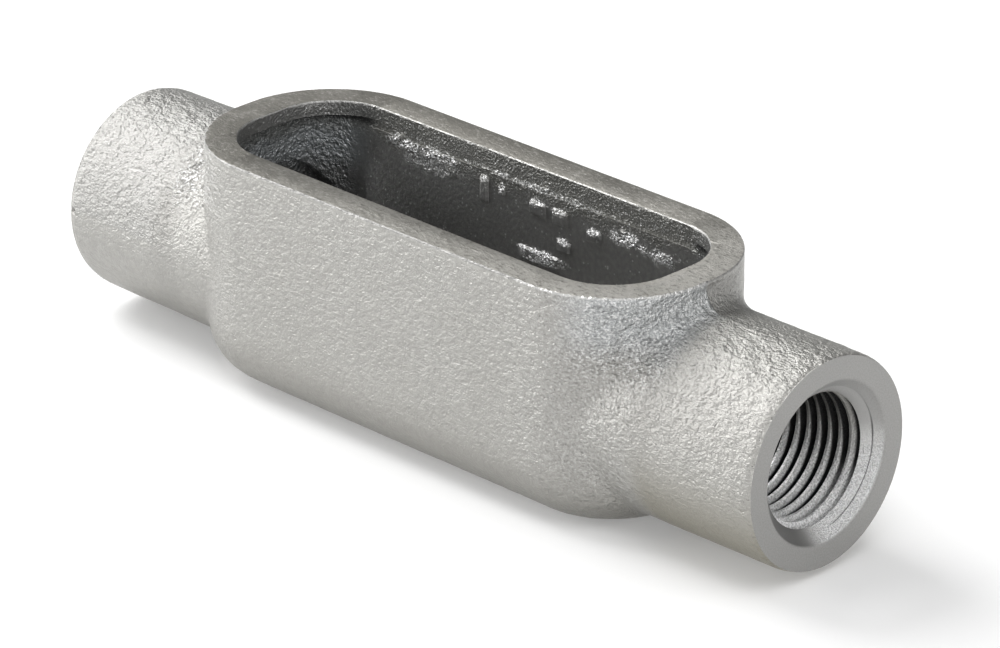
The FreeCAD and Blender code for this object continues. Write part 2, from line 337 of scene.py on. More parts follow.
def hub_cutter(name):
    """The mouth, the thread, the bushing's throat and its flare as one solid."""
    shoulder = FACE - SHOULDER
    stem = CREST_AT_FACE - SHOULDER * TAPER - INSIDE_CRESTS
    profile = [(CAVITY_END - 0.6, THROAT + FLARE)]
    profile += arc((CAVITY_END + FLARE, THROAT + FLARE), FLARE, 180, 270, 10)
    profile += arc((shoulder - NOSE, THROAT + NOSE), NOSE, 270, 335, 4)
    profile += [(shoulder + 0.4, stem), (FACE - MOUTH_DEPTH - 0.8, stem)]
    profile += [(FACE - MOUTH_DEPTH, BORE)]
    slope = math.degrees(math.atan2(MOUTH - BORE, MOUTH_DEPTH))
    reach = MOUTH_ROUND * math.tan(math.radians((90 - slope) / 2))
    centre = (FACE - MOUTH_ROUND, MOUTH + reach)
    profile += arc(centre, MOUTH_ROUND, slope - 90, 0, 5)
    profile += [(FACE + 1.0, MOUTH + reach)]
    cutter = turned(name, profile)
    core = screw(name + "_core")
    sleeve = turned(name + "_sleeve", [(shoulder, SLEEVE), (FACE + 0.5, SLEEVE)], 24)
    combine(core, sleeve, "INTERSECT")
    combine(cutter, core, "UNION")
    return cutter


def plug(name, side):
    """A plain bar that fills one hub's bore."""
    ends = [(side * (CAVITY_END + 0.02), PLUG), (side * (FACE - 0.02), PLUG)]
    return turned(name, ends, 48)


# Shape of the cast skin

def plan_distance(places, plan):
    """Distance outward from a rounded rectangle seen from above."""
    length, width, corner = plan
    x = np.abs(places[:, 0]) - (length - corner)
    y = np.abs(places[:, 1]) - (width - corner)
    beyond = np.hypot(np.maximum(x, 0), np.maximum(y, 0))
    return beyond + np.minimum(np.maximum(x, y), 0) - corner


def plan_outward(places, plan):
    """Direction outward from a rounded rectangle seen from above, for places near its edge."""
    length, width, corner = plan
    away = np.maximum(np.abs(places[:, :2]) - (length - corner, width - corner), 1e-6)
    away /= np.linalg.norm(away, axis=1)[:, None]
    return away * np.sign(places[:, :2])


def break_edge(places):
    """Bevel the outer edge of the ground seat, less along the far side."""
    wide = BEVEL + BEVEL_RAGGED * noise_at(places, EDGE_NOISE)
    wide *= 0.6 + 0.4 * rise(-places[:, 1], -4.0, 4.0)
    inward = -plan_distance(places, CHAMBER)
    below = TOP - places[:, 2]
    lacking = np.clip(wide - inward - below, 0, BEVEL_LIMIT) / 2
    lacking[(np.abs(inward) > BEVEL_REACH) | (below > BEVEL_REACH)] = 0
    places[:, :2] -= plan_outward(places, CHAMBER) * lacking[:, None]
    places[:, 2] -= lacking


def is_inside(places):
    """Tell which places are on the walls of the cavity or of the bushings."""
    off_axis = np.hypot(places[:, 1], places[:, 2] - AXIS)
    from_cavity = plan_distance(places, CAVITY)
    inner = np.abs(from_cavity) < np.abs(plan_distance(places, CHAMBER))
    in_cavity = (from_cavity < 1.5) & (places[:, 2] > FLOOR - 0.5)
    in_bushing = (off_axis < THROAT + FLARE + 0.5) & (np.abs(places[:, 0]) < FACE - 5)
    return in_cavity & inner | in_bushing


def mesh_arrays(mesh):
    """Places in millimetres and normals of a mesh's corners."""
    count = len(mesh.vertices)
    places = np.empty(count * 3, np.float32)
    normals = np.empty(count * 3, np.float32)
    mesh.vertices.foreach_get("co", places)
    mesh.vertices.foreach_get("normal", normals)
    return places.reshape(-1, 3).astype(float) / MM, normals.reshape(-1, 3).astype(float)


def blob(places, centre, radii):
    """Go from 1 at a centre to 0 outside an ellipsoid round it."""
    away = np.linalg.norm((places - centre) / radii, axis=1)
    return 1 - rise(away, PATCH_CORE, PATCH_RIM)


def rough_zones(places):
    """Where the core left the inside rough: the ends, the top of the walls and some patches."""
    zones = rise(np.abs(places[:, 0]), 33.5, 37.0) * (1 - rise(places[:, 2], LIP - 0.5, LIP))
    zones = np.maximum(zones, 0.4 * rise(places[:, 2], 30.0, 32.5))
    for centre, radii, share in ROUGH_PATCHES:
        zones = np.maximum(zones, share * blob(places, centre, radii))
    return zones


def inside_relief(places, normals):
    """How far raised marks and rough patches stand out of the walls of the cavity."""
    upright = 1 - rise(np.abs(normals[:, 2]), 0.4, 0.8)
    proud = np.zeros(len(places))
    for centre, radii in RAISED_MARKS:
        away = np.abs(places - centre) / radii
        edge = np.maximum(away[:, 0], away[:, 2])
        near = away[:, 1] < 1
        proud = np.maximum(proud, np.where(near, 1 - rise(edge, 0.8, 1.1), 0))
    lumps = np.clip(noise_at(places, LUMP_NOISE) + 0.25, 0, 1)
    for centre, radii, share in ROUGH_PATCHES:
        proud = np.maximum(proud, share * blob(places, centre, radii) * lumps)
    return MARK_HEIGHT * proud * upright


def inner_depth(places, normals, swell, coarse, fine):
    """How deep the core's bumps go into the inside, below zero where it stands proud."""
    zones = rough_zones(places)
    depth = 0.05 + 0.05 * swell
    depth = depth + (0.02 + 0.07 * zones) * coarse + (0.01 + 0.05 * zones) * fine
    return depth - inside_relief(places, normals)


def outer_depth(places, swell, coarse, fine):
    """How deep the mould's bumps go into the outside, with its parting and the seam fold."""
    x, y, z = places.T
    cope = np.where(x < 0, rise(z, PARTING - 0.5, PARTING + 0.5), rise(z, AXIS - 10.0, AXIS + 3.0))
    on_hub = rise(np.abs(x), 44.0, 47.0)
    upper = rise(z, TOP - 12.0, TOP - 7.0) * (1 - rise(z, TOP - 1.2, TOP - 0.5))
    crease = rise(np.abs(x), 30.0, 38.0) * upper * (1 - rise(y, -0.4, 0.4))
    bumps = (0.035 + 0.02 * cope * on_hub + 0.08 * crease) * coarse
    bumps += (0.016 + 0.024 * cope * on_hub + 0.05 * crease) * fine
    parting = 0.02 * on_hub * (1 - cope) * (x < 0)
    seam = rise(y, -0.2, 0.3) * (1 - rise(y, 2.0, 9.0))
    seam += 0.5 * rise(-y, 0.2, 4.0) * (1 - rise(-y, 4.0, 9.0))
    seam *= rise(x, CHAMBER[0] - 2.5, CHAMBER[0] - 1.0) * upper
    nick = 0.4 * blob(places, (-FACE, -15.0, PARTING), (1.2, 3.0, 0.45))
    return np.clip(0.10 + 0.05 * swell + bumps + parting + nick + 0.35 * seam, 0, 1)


def machined_share(places, normals):
    """Tell from 0 to 1 how far each place is on the seat or on a hub face."""
    seat = rise(places[:, 2], TOP - 0.25, TOP - 0.02) * rise(normals[:, 2], 0.5, 0.95)
    face = rise(np.abs(places[:, 0]), FACE - 0.25, FACE - 0.02)
    face = face * rise(np.abs(normals[:, 0]), 0.5, 0.95)
    return np.maximum(seat, face)


def roughen(mesh):
    """Give the cast skin its shallow bumps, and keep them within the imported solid's box."""
    places, normals = mesh_arrays(mesh)
    grain = [noise_at(places, kind) for kind in SKIN_NOISE]
    outer = outer_depth(places, *grain)
    inner = inner_depth(places, normals, *grain)
    deep = np.where(is_inside(places), inner, outer) * (1 - machined_share(places, normals))
    moved = places - normals * deep[:, None]
    break_edge(moved)
    moved = np.clip(moved, (-FACE, -HALF_WIDTH, 0), (FACE, HALF_WIDTH, TOP))
    mesh.vertices.foreach_set("co", (moved * MM).astype(np.float32).ravel())
    mesh.update()


def keep_in_box(mesh):
    """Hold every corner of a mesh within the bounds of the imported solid."""
    places = np.empty(len(mesh.vertices) * 3, np.float32)
    mesh.vertices.foreach_get("co", places)
    least, most = (np.array(corner, np.float32) for corner in cad_bounds)
    places = np.clip(places.reshape(-1, 3), least, most)
    mesh.vertices.foreach_set("co", places.ravel())
    mesh.update()


# The casting

def solid_casting():
    """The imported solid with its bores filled, in small even faces."""
    casting = linked("casting", frame["nodes"][NODE].data.copy())
    casting.data.materials.clear()
    work = bmesh.new()
    work.from_mesh(casting.data)
    bmesh.ops.remove_doubles(work, verts=work.verts, dist=WELD * MM)
    work.to_mesh(casting.data)
    work.free()
    for side in (1, -1):
        combine(casting, plug("plug", side), "UNION")
    remesh = casting.modifiers.new("remesh", "REMESH")
    remesh.mode = "SHARP"
    remesh.octree_depth = REMESH_DEPTH
    remesh.scale = REMESH_SCALE
    remesh.use_remove_disconnected = True
    settle(casting)
    return casting


def thin_out(thing, triangles):
    """Merge small faces where the skin is plain, down to a number of triangles."""
    now = sum(len(face.vertices) - 2 for face in thing.data.polygons)
    modifier = thing.modifiers.new("thin", "DECIMATE")
    modifier.ratio = triangles / now
    settle(thing)


def cut_hubs(casting):
    """Cut the mouth, thread and throat of both hubs, the left one turned half round."""
    right = hub_cutter("right")
    left = linked("left", right.data.copy())
    left.data.transform(Matrix.Rotation(math.pi, 4, "Z"))
    combine(casting, right, "DIFFERENCE")
    combine(casting, left, "DIFFERENCE")


def drop_slivers(thing):
    """Dissolve the faces of no area that the cuts leave along the thread."""
    work = bmesh.new()
    work.from_mesh(thing.data)
    bmesh.ops.remove_doubles(work, verts=work.verts, dist=SLIVER_EDGE * MM)
    bmesh.ops.dissolve_degenerate(work, edges=work.edges, dist=SLIVER_FACE * MM)
    bmesh.ops.triangulate(work, faces=[face for face in work.faces if len(face.verts) > 4])
    work.to_mesh(thing.data)
    work.free()


casting = solid_casting()
roughen(casting.data)
thin_out(casting, CASTING_TRIANGLES)
cut_hubs(casting)
drop_slivers(casting)
keep_in_box(casting.data)
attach(casting, "root")
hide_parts(NODE)


# Shader helpers

def add(tree, kind, inputs=None, **settings):
    """Add a shader node and set or link its inputs."""
    node = tree.nodes.new("ShaderNode" + kind)
    for name, value in settings.items():
        setattr(node, name, value)
    for key, value in (inputs or {}).items():
        if isinstance(value, bpy.types.NodeSocket):
            tree.links.new(value, node.inputs[key])
        else:
            node.inputs[key].default_value = value
    return node


def worked(tree, operation, values):
    """Work through values from left to right with one operation."""
    result, *others = values
    for value in others:
        result = add(tree, "Math", {0: result, 1: value}, operation=operation).outputs[0]
    return result


def total(tree, *values):
    return worked(tree, "ADD", values)


def product(tree, *values):
    return worked(tree, "MULTIPLY", values)


def highest(tree, *values):
    return worked(tree, "MAXIMUM", values)


def without(tree, whole, value):
    """A whole less a value."""
    return worked(tree, "SUBTRACT", (whole, value))


def unsigned(tree, value):
    return add(tree, "Math", {0: value}, operation="ABSOLUTE").outputs[0]


def scaled(tree, value, low, high, to_low=0.0, to_high=1.0):
    """Map a range of values to another, held at its ends."""
    return add(tree, "MapRange", {
        "Value": value, "From Min": low, "From Max": high, "To Min": to_low,
        "To Max": to_high}).outputs[0]


def spread(tree, share, least, most):
    """Go from least to most as a share goes from 0 to 1."""
    return scaled(tree, share, 0.0, 1.0, least, most)


def held(tree, value, low, high):
    """Go smoothly from 0 at low to 1 at high, both in millimetres."""
    node = add(tree, "MapRange", {"Value": value, "From Min": low * MM, "From Max": high * MM},
               interpolation_type="SMOOTHSTEP")
    return node.outputs[0]


def on_object(tree):
    return add(tree, "TexCoord").outputs["Object"]


def place(tree, axis):
    """One coordinate of the place on the object in metres, or its distance along from the middle."""
    if axis == "along":
        return unsigned(tree, place(tree, "X"))
    return add(tree, "SeparateXYZ", {"Vector": on_object(tree)}).outputs[axis]


def off_axis(tree):
    """Distance from the conduit axis, in metres."""
    up = without(tree, place(tree, "Z"), AXIS * MM)
    across = place(tree, "Y")
    square = total(tree, product(tree, up, up), product(tree, across, across))
    return add(tree, "Math", {0: square}, operation="SQRT").outputs[0]


def zone(tree, *spans):
    """Where all spans hold, each going from 0 to 1 between two places on an axis."""
    return product(tree, *(held(tree, place(tree, axis), low, high) for axis, low, high in spans))


def noise(tree, size, detail=2.0, stretch=(1, 1, 1), roughness=0.5):
    """Noise over the object whose features are about size millimetres."""
    places = add(tree, "Mapping", {"Vector": on_object(tree), "Scale": stretch})
    pattern = add(tree, "TexNoise", {
        "Vector": places.outputs[0], "Scale": 1 / (size * MM), "Detail": detail,
        "Roughness": roughness})
    return pattern.outputs["Fac"]


def wandering(tree, pattern, reach):
    """Turn noise into a shift of up to reach millimetres either way."""
    return scaled(tree, pattern, 0.3, 0.7, -reach * MM, reach * MM)


def specks(tree, size, share):
    """Small round specks in a share of the cells of a grid of size millimetres."""
    cells = add(tree, "TexVoronoi", {"Vector": on_object(tree), "Scale": 1 / (size * MM)})
    pick = add(tree, "SeparateXYZ", {"Vector": cells.outputs["Color"]}).outputs["X"]
    chosen = worked(tree, "LESS_THAN", (pick, share))
    return product(tree, chosen, scaled(tree, cells.outputs["Distance"], 0.5, 0.2))


def patch(tree, centre, radii):
    """Go from 1 at a centre to 0 outside a ragged ellipsoid round it, in millimetres."""
    shift = add(tree, "VectorMath", {0: on_object(tree), 1: tuple(-c * MM for c in centre)})
    scale = add(tree, "VectorMath", {0: shift.outputs[0], 1: tuple(1 / (r * MM) for r in radii)},
                operation="MULTIPLY")
    away = add(tree, "VectorMath", {0: scale.outputs[0]}, operation="LENGTH").outputs["Value"]
    away = total(tree, away, scaled(tree, noise(tree, 1.6), 0.3, 0.7, -0.45, 0.45))
    return scaled(tree, away, PATCH_RIM, PATCH_CORE)


def edge_wear_and_highlight(tree, depth, ragged):
    """Where the skin is broken along the edge of the ground seat, and where a painted highlight runs
    along it.
    """
    chips = noise(tree, 1.1, 3.0, (1, 1, 1), 0.6)
    up = total(tree, place(tree, "Z"), wandering(tree, chips, ragged))
    return held(tree, up, TOP - depth - 0.08, TOP - depth + 0.08)


def colour(grey, warmth=0.0):
    """A grey that is a little warm, or cold below zero."""
    return (grey * (1 + warmth / 3), grey, grey * (1 - warmth), 1)


def blended(tree, share, first, second):
    """Mix two colours."""
    mix = add(tree, "Mix", {0: share, 6: first, 7: second}, data_type="RGBA")
    return mix.outputs[2]


def painted(tree, shader, base, layers):
    """Lay layers over a base colour, each given as its share and its colour."""
    for share, tone in layers:
        base = blended(tree, share, base, tone)
    tree.links.new(base, shader.inputs["Base Color"])


def bumped(tree, shader, height, distance=1.0):
    """Bump the shader's normal by a height whose full range is distance millimetres."""
    bump = add(tree, "Bump", {"Height": height, "Distance": distance * MM, "Strength": 1.0})
    tree.links.new(bump.outputs[0], shader.inputs["Normal"])


def new_material(name, metallic, roughness):
    material = bpy.data.materials.new(name)
    material.use_nodes = True
    shader = material.node_tree.nodes["Principled BSDF"]
    shader.inputs["Metallic"].default_value = metallic
    shader.inputs["Roughness"].default_value = roughness
    return material, material.node_tree, shader


WHITE = (1, 1, 1, 1)


# The cast skin outside

def skin_zones(tree, grains):
    """The regions of the cast skin, each as a share from 0 to 1."""
    up = total(tree, place(tree, "Z"), spread(tree, grains, -1.0 * MM, 1.0 * MM))
    hub = zone(tree, ("along", 43.0, 47.0))
    near = zone(tree, ("X", -1.0, 1.0))
    parted = held(tree, up, PARTING - 0.3, PARTING + 0.3)
    faded = held(tree, up, AXIS - 11.0, AXIS + 2.0)
    cope = product(tree, hub, add(tree, "Mix", {0: near, 2: parted, 3: faded}).outputs[0])
    corner = zone(tree, ("along", 31.0, 39.0), ("along", 49.0, 45.0), ("Y", 0.3, -0.3))
    crease = product(tree, corner, held(tree, up, TOP - 13.0, TOP - 8.0))
    wall = total(tree, product(tree, zone(tree, ("Z", 4.0, 22.0)), 0.35),
                 product(tree, zone(tree, ("X", 16.0, 36.0)), 0.35))
    return SimpleNamespace(
        near=near, cope=cope, crease=crease,
        right_hub=product(tree, hub, near),
        rough=highest(tree, cope, crease, wall),
        bend=zone(tree, ("X", 20.0, 38.0), ("along", 47.0, 42.0)),
        # Where a painted highlight lies on the right end's crease
        crease_highlight=product(tree, crease, held(tree, up, TOP - 10.0, TOP - 5.0), near),
    )


def skin_height(tree, zones, grains, fine, cells):
    """Sandy grain with flat plates on the hubs, calmer just under the seat."""
    edge = zone(tree, ("Z", TOP - 1.4, TOP - 0.5))
    calm = without(tree, 1.0, product(tree, edge, 0.5))
    depth = product(tree, spread(tree, zones.rough, 0.1, 0.42), calm)
    sand = product(tree, total(tree, grains, product(tree, fine, 0.3), -0.65), depth)
    plates = total(tree, scaled(tree, cells, 0.0, 0.05), -1.0)
    plates = product(tree, plates, highest(tree, zones.cope, zones.crease), 0.032)
    dust = product(tree, fine, calm, 0.11)
    lift = highest(tree, product(tree, zones.crease, 0.55), product(tree, zones.bend, 0.16))
    return total(tree, sand, plates, dust, product(tree, grains, lift))


def skin_layers(tree, zones, fine, cells):
    """The layers of colour on the cast skin, from the lowest to the highest, painted light and shade
    among them.
    """
    hub_top_highlight = product(tree, zones.cope, zone(tree, ("along", 46.0, 50.0)))
    hub_highlight_tone = blended(tree, zones.near, colour(0.36, 0.04), colour(0.385, 0.05))
    fillet_shade = zone(tree, ("X", -43.0, -44.5), ("X", -50.0, -47.0))
    gaps = product(tree, scaled(tree, cells, 0.02, 0.0), zones.cope)
    pits = product(tree, scaled(tree, fine, 0.36, 0.28), zones.rough)
    foot_shade = zone(tree, ("Z", 13.5, 0.5))
    right_hub_under_shade = product(tree, zones.right_hub, zone(tree, ("Z", 19.0, 5.0)))
    crease_glints = product(tree, scaled(tree, fine, 0.52, 0.62), zones.crease)
    bend = product(tree, zones.bend, zone(tree, ("Z", 2.0, 12.0)))
    bend_painted_shadows = product(tree, scaled(tree, fine, 0.44, 0.32), bend)
    bend_painted_highlights = product(tree, scaled(tree, fine, 0.5, 0.64), bend)
    # Where a painted shadow lies beside the seam fold on the right end
    back = zone(tree, ("Y", -0.1, 0.3), ("X", 42.0, 43.5), ("X", 50.0, 46.0),
                ("Z", TOP - 8.0, TOP - 5.0), ("Z", TOP - 0.3, TOP - 0.6))
    right_hub_back_shade = product(tree, zone(tree, ("Y", 1.0, 10.0)), zones.right_hub)
    near_corner_highlight = zone(tree, ("X", 24.0, 32.0), ("Y", 1.0, -2.0))
    bare = blended(tree, near_corner_highlight, colour(0.25, 0.03), colour(0.6, 0.02))
    return (
        # Painted highlight: the upper halves of the hubs lighter, the right one most
        (hub_top_highlight, hub_highlight_tone),
        # Painted shade in the fillet where the left hub meets the chamber
        (product(tree, fillet_shade, 0.35), colour(0.27, 0.05)),
        (product(tree, gaps, 0.28), colour(0.16, 0.05)),
        (product(tree, pits, 0.7), colour(0.1, 0.02)),
        # Painted shade: the skin darker towards the bottom
        (product(tree, foot_shade, 0.6), colour(0.21, 0.1)),
        # Painted shade: the lower part of the right hub darker and warmer
        (product(tree, right_hub_under_shade, 0.6), colour(0.23, 0.25)),
        # Painted highlight, cool in tone, on the crease under the seat at the right end
        (product(tree, zones.crease_highlight, 0.6), (0.46, 0.48, 0.495, 1)),
        # Painted glints on the near side of both ends, under the seat
        (product(tree, crease_glints, 0.7), colour(0.8)),
        # Painted small shadows and highlights on the bumps low on the right end
        (product(tree, bend_painted_shadows, 0.3), colour(0.2, 0.05)),
        (product(tree, bend_painted_highlights, 0.4), colour(0.6, 0.02)),
        # Painted shadow beside the seam fold, under the seat at the right end
        (product(tree, back, 0.2), colour(0.15)),
        # Painted shade on the back of the right hub
        (product(tree, right_hub_back_shade, 0.22), colour(0.2, 0.1)),
        # Bare iron where the coat is broken along the seat's edge, with a painted highlight near the
        # right end of the near side
        (product(tree, edge_wear_and_highlight(tree, 0.3, 0.06), 0.85), bare),
    )


def cast_skin():
    """Aluminium lacquer over rough iron: silver grey with a sandy relief."""
    material, tree, shader = new_material("cast_skin", 0.8, 0.4)
    grains = noise(tree, 0.8, 2.0, (0.8, 1.0, 1.1), 0.55)
    fine = noise(tree, 0.36, 2.0, (0.9, 1.0, 1.1), 0.55)
    cells = unsigned(tree, total(tree, noise(tree, 1.7, 2.0, (0.6, 1.1, 1.35), 0.6), -0.5))
    zones = skin_zones(tree, grains)
    bumped(tree, shader, skin_height(tree, zones, grains, fine, cells))
    lacquer = blended(tree, scaled(tree, grains, 0.35, 0.62), colour(0.325, 0.05), colour(0.37, 0.05))
    clouds = scaled(tree, noise(tree, 11.0), 0.35, 0.65, 0.0, 0.3)
    lacquer = blended(tree, clouds, lacquer, colour(0.32, 0.06))
    painted(tree, shader, lacquer, skin_layers(tree, zones, fine, cells))
    gloss = scaled(tree, fine, 0.3, 0.7, 0.36, 0.46)
    gloss = total(tree, gloss, product(tree, zones.cope, 0.06))
    tree.links.new(gloss, shader.inputs["Roughness"])
    return material


# The machined surfaces

# Where painted shade darkens the ground seat: its share, and the spans that it takes
SEAT_SHADE = (
    (0.85, ("X", 44.0, -38.0)),
    (0.6, ("Y", 3.0, 12.5), ("X", 41.0, 31.0), ("X", -38.0, -28.0)),
    (0.35, ("Y", -1.0, -9.0), ("X", -24.0, -34.0)),
    (0.16, ("Y", -1.0, -9.0), ("X", -10.0, 12.0)),
)


def machined_seat():
    """Bare ground iron, warm grey, with a fine grain and painted shade that darkens it towards the
    left end.
    """
    material, tree, shader = new_material("machined_seat", 0.85, 0.5)
    grain = noise(tree, 0.5, 3.0, (0.6, 1.1, 1.0), 0.7)
    clouds = noise(tree, 5.0, 3.0)
    bumped(tree, shader, grain, 0.1)
    # Painted shade over the seat, varied at random by clouds
    seat_shade = [product(tree, zone(tree, *spans), share) for share, *spans in SEAT_SHADE]
    seat_shade = total(tree, *seat_shade, scaled(tree, clouds, 0.3, 0.7, -0.15, 0.15))
    ground = blended(tree, seat_shade, (0.5, 0.487, 0.454, 1), (0.2, 0.193, 0.173, 1))
    painted(tree, shader, ground, (
        (scaled(tree, grain, 0.5, 0.7, 0.0, 0.8), (0.16, 0.155, 0.14, 1)),
        (scaled(tree, grain, 0.45, 0.3, 0.0, 0.5), (0.55, 0.54, 0.51, 1)),
    ))
    return material


def hub_end():
    """The turned end of a hub under a thin even coat, grainy in its mouth, with painted light and
    shade in its mouth.
    """
    material, tree, shader = new_material("hub_end", 0.7, 0.5)
    grain = noise(tree, 0.22)
    mouth = zone(tree, ("along", FACE - 0.1, FACE - 1.0))
    low = zone(tree, ("along", FACE - 0.05, FACE - 0.35), ("Z", AXIS + 3.0, AXIS - 6.5))
    shaded = product(tree, low, zone(tree, ("Y", 0.5, -5.0)))
    glinting = product(tree, low, zone(tree, ("Y", -3.0, 3.0)))
    bumped(tree, shader, product(tree, grain, spread(tree, glinting, 0.03, 0.55)))
    coat = blended(tree, scaled(tree, grain, 0.35, 0.65), colour(0.29, 0.03), colour(0.33, 0.03))
    sparkle = blended(tree, scaled(tree, grain, 0.4, 0.6), colour(0.7), WHITE)
    radius = off_axis(tree)
    mouth_ring_shade = product(tree, held(tree, radius, 10.28, 10.36), held(tree, radius, 10.46, 10.38),
                   mouth, zone(tree, ("Y", 1.0, 4.0), ("Z", AXIS + 4.0, AXIS + 1.0)))
    painted(tree, shader, coat, (
        # Painted light: the mouth lighter than the face
        (product(tree, mouth, 0.6), colour(0.36, 0.02)),
        (product(tree, shaded, 0.8), colour(0.12, 0.03)),
        (product(tree, glinting, 0.95), sparkle),
        # Painted shade of the thread's first faint groove: a thin dark ring in the mouth
        (product(tree, mouth_ring_shade, 0.8), colour(0.06)),
    ))
    return material


def thread_metal():
    """Thread crests with a grainy coat, darker towards the top as painted shade, and painted shade in
    the grooves.
    """
    material, tree, shader = new_material("thread_metal", 0.8, 0.4)
    grain = noise(tree, 0.26, 2.0, (1, 1, 1), 0.6)
    bumped(tree, shader, grain, 0.2)
    upper = zone(tree, ("Z", AXIS - 9.0, AXIS + 4.0))
    widened = product(tree, upper, zone(tree, ("along", FACE - 3.2, FACE - 4.6)), 0.7 * MM)
    drop = product(tree, without(tree, FACE * MM, place(tree, "along")), TAPER)
    above_crest = total(tree, off_axis(tree), widened, drop)
    groove_shade = held(tree, above_crest, CREST_AT_FACE + 0.5, CREST_AT_FACE + 0.85)
    faint = zone(tree, ("along", FACE - 6.0, FACE - 4.0), ("Z", AXIS - 3.0, AXIS - 9.0))
    groove_shade = product(tree, groove_shade, without(tree, 1.0, product(tree, faint, 0.9)))
    crests = blended(tree, scaled(tree, grain, 0.35, 0.62), colour(0.5), colour(0.95))
    painted(tree, shader, crests, (
        # Painted shade: the crests darker towards the top of the bore
        (product(tree, upper, 0.8), colour(0.22, 0.1)),
        # Painted shade in the grooves, wider towards the top and fading low in the mouth
        (groove_shade, colour(0.012)),
    ))
    return material


# The cored inside

def bright_patches(tree):
    """Where the rough patches and the tops of the raised marks glint."""
    patches = [product(tree, patch(tree, centre, radii), share)
               for centre, radii, share in ROUGH_PATCHES]
    for (x, y, z), (long, _, tall) in RAISED_MARKS:
        top = patch(tree, (x, y, z + tall * 0.9), (long * 1.05, 2.0, 0.6))
        patches.append(product(tree, top, 0.9))
    return highest(tree, *patches)


def inside_layers(tree, fine, bright, band, lip, wander):
    """The layers of colour on the cored inside, from the lowest to the highest, painted light and
    shade among them.
    """
    end = held(tree, total(tree, place(tree, "along"), product(tree, wander, 0.5)), 29.5, 34.5)
    high = zone(tree, ("Z", AXIS + 5.0, AXIS + 12.0))
    deep = without(tree, 1.0, high)
    glint_specks = highest(tree, specks(tree, 0.42, 0.06), product(tree, specks(tree, 0.36, 0.2), band))
    glints = product(tree, scaled(tree, fine, 0.44, 0.58), bright)
    # Where a painted shadow lies just under the lip at the ends
    under = zone(tree, ("Z", LIP - 1.4, LIP - 0.3), ("Z", LIP + 0.1, LIP), ("along", 29.5, 32.0))
    right_end_shade = zone(tree, ("X", 30.0, 37.0))
    rim_edge_highlight = blended(tree, right_end_shade, colour(0.55, 0.03), colour(0.25, 0.03))
    fainter_edge = zone(tree, ("Z", LIP + 1.2, LIP + 0.6), ("X", 18.0, 24.0))
    kept = without(tree, 0.7, product(tree, fainter_edge, 0.6))
    return (
        # Painted light: the upper end walls lighter and cool in tone
        (product(tree, end, high, 0.8), (0.4, 0.42, 0.435, 1)),
        # Painted shade low in the ends, round the throats
        (product(tree, end, deep, 0.7), colour(0.12)),
        (product(tree, band, 0.6), (0.16, 0.158, 0.14, 1)),
        (product(tree, lip, 0.8), colour(0.22, 0.03)),
        # Painted glints: small white specks, more in the band
        (product(tree, glint_specks, 0.55), colour(0.8)),
        (glints, WHITE),
        # Painted shadow in a line just under the lip
        (product(tree, under, 0.9), colour(0.03)),
        # Painted shade towards the right end
        (product(tree, right_end_shade, 0.35), colour(0.07, 0.05)),
        # Painted highlight along the inner edge of the seat, darker towards the right end
        (product(tree, edge_wear_and_highlight(tree, 0.2, 0.12), kept), rim_edge_highlight),
    )


def inside_skin():
    """The cored inside: smooth dark grey below, grainy and glinting where it is rough."""
    material, tree, shader = new_material("inside_skin", 0.7, 0.34)
    grains = noise(tree, 0.7, 2.0, (1, 1, 1), 0.55)
    fine = noise(tree, 0.33)
    wander = wandering(tree, noise(tree, 5.0), 1.5)
    band = held(tree, total(tree, place(tree, "Z"), wander), 29.0, 32.0)
    lip = zone(tree, ("Z", LIP - 0.5, LIP - 0.1), ("along", 29.0, 33.0))
    bright = bright_patches(tree)
    rough = highest(tree, zone(tree, ("along", 33.0, 37.0)), bright)
    rough = product(tree, rough, without(tree, 1.0, lip))
    grainy = highest(tree, rough, product(tree, band, 0.6))
    height = total(
        tree,
        product(tree, total(tree, grains, -0.5), spread(tree, rough, 0.1, 0.9)),
        product(tree, total(tree, fine, -0.5), spread(tree, grainy, 0.03, 0.34)))
    bumped(tree, shader, height)
    bare = blended(tree, scaled(tree, grains, 0.4, 0.7), colour(0.27, 0.02), colour(0.33, 0.03))
    painted(tree, shader, bare, inside_layers(tree, fine, bright, band, lip, wander))
    return material


# Each face has the material of the surface that it belongs to

SURFACES = (cast_skin, machined_seat, hub_end, thread_metal, inside_skin)
CAST, SEAT, END, THREAD, INSIDE = range(len(SURFACES))


def surface_of(centres, normals):
    """Tell which surface each face is on, from its centre and normal."""
    off_axis = np.hypot(centres[:, 1], centres[:, 2] - AXIS)
    along = np.abs(centres[:, 0])
    slots = np.full(len(centres), CAST)
    slots[is_inside(centres)] = INSIDE
    slots[(centres[:, 2] > TOP - ON_PLANE) & (normals[:, 2] > 0.8)] = SEAT
    slots[(along > FACE - ON_PLANE) & (np.abs(normals[:, 0]) > 0.8)] = END
    slots[(along > FACE - MOUTH_DEPTH - 0.6) & (off_axis < MOUTH + 1)] = END
    threaded = off_axis < CREST_AT_FACE + THREAD_DEPTH + 0.1
    threaded &= (along > FACE - SHOULDER + 0.1) & (along < FACE - MOUTH_DEPTH + 0.2)
    slots[threaded] = THREAD
    return slots


def sharpen_rim(mesh, slots):
    """Keep the edge all round the seat sharp."""
    edges = np.empty(len(mesh.loops), int)
    sides = np.empty(len(mesh.polygons), int)
    sharp = np.empty(len(mesh.edges), bool)
    mesh.loops.foreach_get("edge_index", edges)
    mesh.polygons.foreach_get("loop_total", sides)
    mesh.edges.foreach_get("use_edge_sharp", sharp)
    touched = np.zeros(len(mesh.edges), int)
    np.add.at(touched, edges, np.repeat(slots == SEAT, sides))
    mesh.edges.foreach_set("use_edge_sharp", sharp | (touched == 1))


